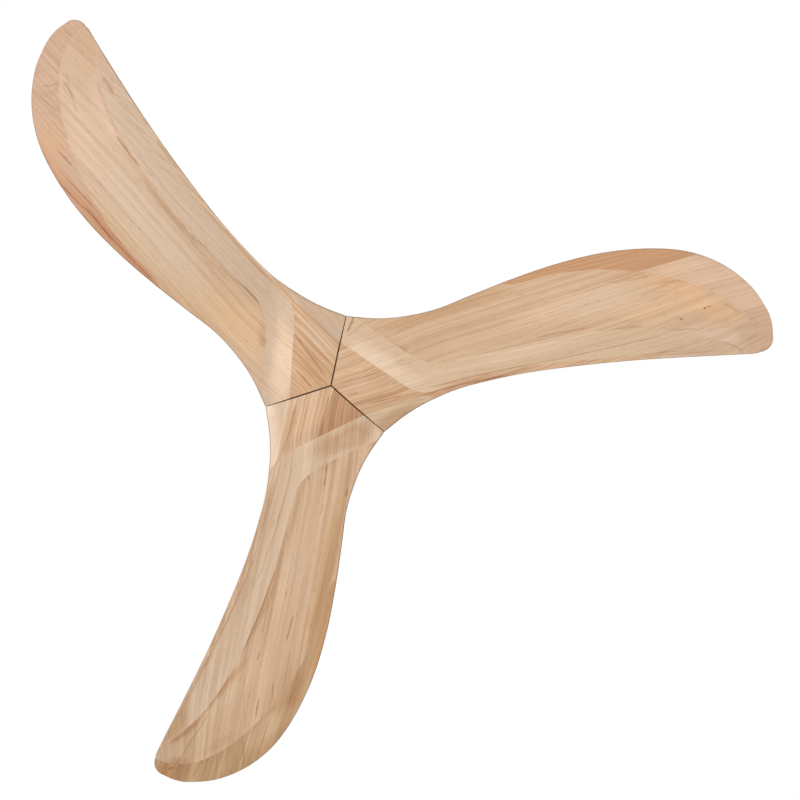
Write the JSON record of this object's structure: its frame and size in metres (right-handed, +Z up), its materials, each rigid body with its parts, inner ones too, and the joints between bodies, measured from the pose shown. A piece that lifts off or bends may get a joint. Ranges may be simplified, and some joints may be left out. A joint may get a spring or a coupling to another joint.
{
  "type": "three-blade wooden ceiling fan propeller",
  "caption": "Three laminated wooden sickle blades butted at a Y seam under a compact direct-drive motor pod on a round ceiling plate; the propeller turns freely about the vertical shaft.",
  "frame": {"origin": "centre of the ceiling plate's upper face, which goes against the ceiling", "axes": "+Z up along the shaft towards the ceiling; +X along the middle of blade 1's root"},
  "size_m": [1.0932, 1.1485, 0.1485],
  "materials": {
    "timber_pale": "satin clear lacquer",
    "timber_tan": "satin clear lacquer",
    "timber_honey": "satin clear lacquer",
    "timber_red": "satin clear lacquer",
    "zinc_steel": "zinc plated",
    "ground_steel": "ground",
    "lamination_steel": "stacked sheet",
    "cast_aluminium": "die cast, machined faces",
    "copper": null,
    "magnet": "epoxy coated",
    "brass": "plain",
    "black_rubber": "matte",
    "white_nylon": "matte",
    "grey_plastic": "matte",
    "black_powder_coat": "fine texture powder coat",
    "black_screws": "black zinc"
  },
  "bodies": {
    "mount": {"ceiling_plate": "zinc_steel", "wire_grommet": "black_rubber", "terminal_block": "white_nylon", "terminal_screws": "zinc_steel", "earth_screw": "brass", "controller_case": "grey_plastic", "controller_lid": "grey_plastic", "controller_screws": "zinc_steel", "motor_bracket": "zinc_steel", "bracket_screws": "zinc_steel", "motor_shaft": "ground_steel", "lock_washer": "zinc_steel", "shaft_nut": "zinc_steel", "stator_core": "lamination_steel", "stator_insulators": "white_nylon", "stator_windings": "copper", "upper_bearing_inner": "ground_steel", "lower_bearing_inner": "ground_steel", "shaft_circlip": "ground_steel", "housing_skirt": "black_powder_coat", "housing_screws": "black_screws"},
    "propeller": {"rotor_upper_shell": "cast_aluminium", "rotor_lower_shell": "cast_aluminium", "rotor_iron": "lamination_steel", "rotor_magnets": "magnet", "shell_screws": "zinc_steel", "upper_bearing_outer": "ground_steel", "upper_bearing_balls": "ground_steel", "lower_bearing_outer": "ground_steel", "lower_bearing_balls": "ground_steel", "blade_carrier": "zinc_steel", "carrier_screws": "zinc_steel", "blade_pads": "black_rubber", "blade_inserts": "brass", "blade_washers": "zinc_steel", "blade_screws": "zinc_steel", "blade_1_board_1": "timber_honey", "blade_1_board_2": "timber_pale", "blade_1_board_3": "timber_tan", "blade_1_board_4": "timber_red", "blade_2_board_1": "timber_red", "blade_2_board_2": "timber_tan", "blade_2_board_3": "timber_pale", "blade_2_board_4": "timber_honey", "blade_3_board_1": "timber_tan", "blade_3_board_2": "timber_pale", "blade_3_board_3": "timber_honey", "blade_3_board_4": "timber_red"}
  },
  "joints": [
    {"name": "propeller_spin", "type": "hinge", "parent": "mount", "child": "propeller", "pos_m": [0, 0, -0.08], "axis": [0, 0, 1], "continuous": true}
  ]
}
